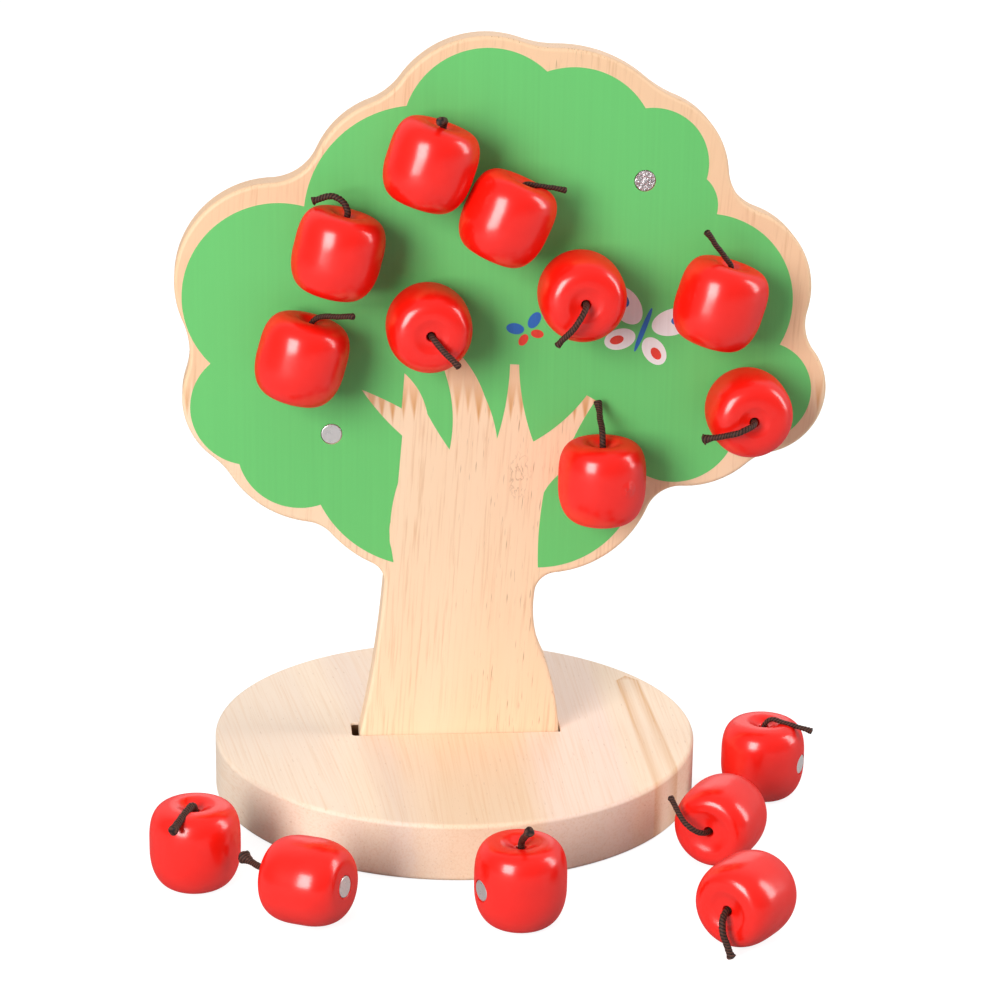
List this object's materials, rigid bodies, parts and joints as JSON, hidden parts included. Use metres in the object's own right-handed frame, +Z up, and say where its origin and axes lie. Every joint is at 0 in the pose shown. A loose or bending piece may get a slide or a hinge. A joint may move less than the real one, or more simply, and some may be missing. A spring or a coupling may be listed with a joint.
{
  "type": "magnetic apple tree toy",
  "caption": "Wooden tree board with a lobed crown standing in a slotted round base; round apples with cord stems hold to it by magnets and pull off for counting and picking play.",
  "frame": {"origin": "centre of the base's underside, on the table", "axes": "+Z up; -Y the way the tree's printed face looks; +X to the right as one looks at that face"},
  "size_m": [0.2476, 0.2497, 0.2841],
  "materials": {
    "base_wood": "clear matte varnish on edge-glued rubberwood or beech staves",
    "board_wood": "fine-sanded bare softwood face with a flat green crown print",
    "apple_lacquer": "glossy red dipped lacquer on turned wood",
    "waxed_cord": "waxed braided cord, dark brown",
    "magnet_nickel": "nickel-plated disc, dull satin"
  },
  "bodies": {
    "base": {"base_disc": "base_wood"},
    "tree": {"tree_panel": "board_wood", "tree_magnet_01": "magnet_nickel", "tree_magnet_02": "magnet_nickel", "tree_magnet_03": "magnet_nickel", "tree_magnet_04": "magnet_nickel", "tree_magnet_05": "magnet_nickel", "tree_magnet_06": "magnet_nickel", "tree_magnet_07": "magnet_nickel", "tree_magnet_08": "magnet_nickel", "tree_magnet_09": "magnet_nickel", "tree_magnet_10": "magnet_nickel", "tree_magnet_11": "magnet_nickel"},
    "apple_01_seat": {"apple_01_magnet": "magnet_nickel"},
    "apple_01": {"apple_01_body": "apple_lacquer", "apple_01_stem": "waxed_cord"},
    "apple_02_seat": {"apple_02_magnet": "magnet_nickel"},
    "apple_02": {"apple_02_body": "apple_lacquer", "apple_02_stem": "waxed_cord"},
    "apple_03_seat": {"apple_03_magnet": "magnet_nickel"},
    "apple_03": {"apple_03_body": "apple_lacquer", "apple_03_stem": "waxed_cord"},
    "apple_04_seat": {"apple_04_magnet": "magnet_nickel"},
    "apple_04": {"apple_04_body": "apple_lacquer", "apple_04_stem": "waxed_cord"},
    "apple_05_seat": {"apple_05_magnet": "magnet_nickel"},
    "apple_05": {"apple_05_body": "apple_lacquer", "apple_05_stem": "waxed_cord"},
    "apple_06_seat": {"apple_06_magnet": "magnet_nickel"},
    "apple_06": {"apple_06_body": "apple_lacquer", "apple_06_stem": "waxed_cord"},
    "apple_07_seat": {"apple_07_magnet": "magnet_nickel"},
    "apple_07": {"apple_07_body": "apple_lacquer", "apple_07_stem": "waxed_cord"},
    "apple_08_seat": {"apple_08_magnet": "magnet_nickel"},
    "apple_08": {"apple_08_body": "apple_lacquer", "apple_08_stem": "waxed_cord"},
    "apple_09_seat": {"apple_09_magnet": "magnet_nickel"},
    "apple_09": {"apple_09_body": "apple_lacquer", "apple_09_stem": "waxed_cord"},
    "apple_10": {"apple_10_body": "apple_lacquer", "apple_10_stem": "waxed_cord", "apple_10_magnet": "magnet_nickel"},
    "apple_11": {"apple_11_body": "apple_lacquer", "apple_11_stem": "waxed_cord", "apple_11_magnet": "magnet_nickel"},
    "apple_12": {"apple_12_body": "apple_lacquer", "apple_12_stem": "waxed_cord", "apple_12_magnet": "magnet_nickel"},
    "apple_13": {"apple_13_body": "apple_lacquer", "apple_13_stem": "waxed_cord", "apple_13_magnet": "magnet_nickel"},
    "apple_14": {"apple_14_body": "apple_lacquer", "apple_14_stem": "waxed_cord", "apple_14_magnet": "magnet_nickel"},
    "apple_15": {"apple_15_body": "apple_lacquer", "apple_15_stem": "waxed_cord", "apple_15_magnet": "magnet_nickel"}
  },
  "joints": [
    {"name": "tree_lift", "type": "slide", "parent": "base", "child": "tree", "axis": [0, 0, 1], "range_m": [0, 0.02]},
    {"name": "apple_01_pull", "type": "slide", "parent": "tree", "child": "apple_01_seat", "axis": [0, -1, 0], "range_m": [0, 0.04]},
    {"name": "apple_01_turn", "type": "hinge", "parent": "apple_01_seat", "child": "apple_01", "pos_m": [-0.01264, -0.0084, 0.24186], "axis": [0, 1, 0], "range_deg": [-6, 20]},
    {"name": "apple_02_pull", "type": "slide", "parent": "tree", "child": "apple_02_seat", "axis": [0, -1, 0], "range_m": [0, 0.04]},
    {"name": "apple_02_turn", "type": "hinge", "parent": "apple_02_seat", "child": "apple_02", "pos_m": [0.01439, -0.0084, 0.22258], "axis": [0, 1, 0], "range_deg": [-6, 15]},
    {"name": "apple_03_pull", "type": "slide", "parent": "tree", "child": "apple_03_seat", "axis": [0, -1, 0], "range_m": [0, 0.04]},
    {"name": "apple_03_turn", "type": "hinge", "parent": "apple_03_seat", "child": "apple_03", "pos_m": [-0.04491, -0.0084, 0.21043], "axis": [0, 1, 0], "continuous": true},
    {"name": "apple_04_pull", "type": "slide", "parent": "tree", "child": "apple_04_seat", "axis": [0, -1, 0], "range_m": [0, 0.04]},
    {"name": "apple_04_turn", "type": "hinge", "parent": "apple_04_seat", "child": "apple_04", "pos_m": [-0.05773, -0.0084, 0.17234], "axis": [0, 1, 0], "range_deg": [-8, 170]},
    {"name": "apple_05_pull", "type": "slide", "parent": "tree", "child": "apple_05_seat", "axis": [0, -1, 0], "range_m": [0, 0.04]},
    {"name": "apple_05_turn", "type": "hinge", "parent": "apple_05_seat", "child": "apple_05", "pos_m": [-0.01264, -0.00795, 0.1834], "axis": [0, 1, 0], "continuous": true},
    {"name": "apple_06_pull", "type": "slide", "parent": "tree", "child": "apple_06_seat", "axis": [0, -1, 0], "range_m": [0, 0.04]},
    {"name": "apple_06_turn", "type": "hinge", "parent": "apple_06_seat", "child": "apple_06", "pos_m": [0.04157, -0.00795, 0.19463], "axis": [0, 1, 0], "continuous": true},
    {"name": "apple_07_pull", "type": "slide", "parent": "tree", "child": "apple_07_seat", "axis": [0, -1, 0], "range_m": [0, 0.04]},
    {"name": "apple_07_turn", "type": "hinge", "parent": "apple_07_seat", "child": "apple_07", "pos_m": [0.09106, -0.0084, 0.19121], "axis": [0, 1, 0], "range_deg": [-150, 150]},
    {"name": "apple_08_pull", "type": "slide", "parent": "tree", "child": "apple_08_seat", "axis": [0, -1, 0], "range_m": [0, 0.04]},
    {"name": "apple_08_turn", "type": "hinge", "parent": "apple_08_seat", "child": "apple_08", "pos_m": [0.10316, -0.00795, 0.15077], "axis": [0, 1, 0], "continuous": true},
    {"name": "apple_09_pull", "type": "slide", "parent": "tree", "child": "apple_09_seat", "axis": [0, -1, 0], "range_m": [0, 0.04]},
    {"name": "apple_09_turn", "type": "hinge", "parent": "apple_09_seat", "child": "apple_09", "pos_m": [0.05048, -0.0084, 0.12534], "axis": [0, 1, 0], "continuous": true},
    {"name": "apple_10_lift", "type": "slide", "parent": "base", "child": "apple_10", "axis": [0, 0, 1], "range_m": [0, 0.05]},
    {"name": "apple_11_lift", "type": "slide", "parent": "base", "child": "apple_11", "axis": [0, 0, 1], "range_m": [0, 0.05]},
    {"name": "apple_12_lift", "type": "slide", "parent": "base", "child": "apple_12", "axis": [0, 0, 1], "range_m": [0, 0.05]},
    {"name": "apple_13_lift", "type": "slide", "parent": "base", "child": "apple_13", "axis": [0, 0, 1], "range_m": [0, 0.05]},
    {"name": "apple_14_lift", "type": "slide", "parent": "base", "child": "apple_14", "axis": [0, 0, 1], "range_m": [0, 0.05]},
    {"name": "apple_15_lift", "type": "slide", "parent": "base", "child": "apple_15", "axis": [0, 0, 1], "range_m": [0, 0.05]}
  ]
}
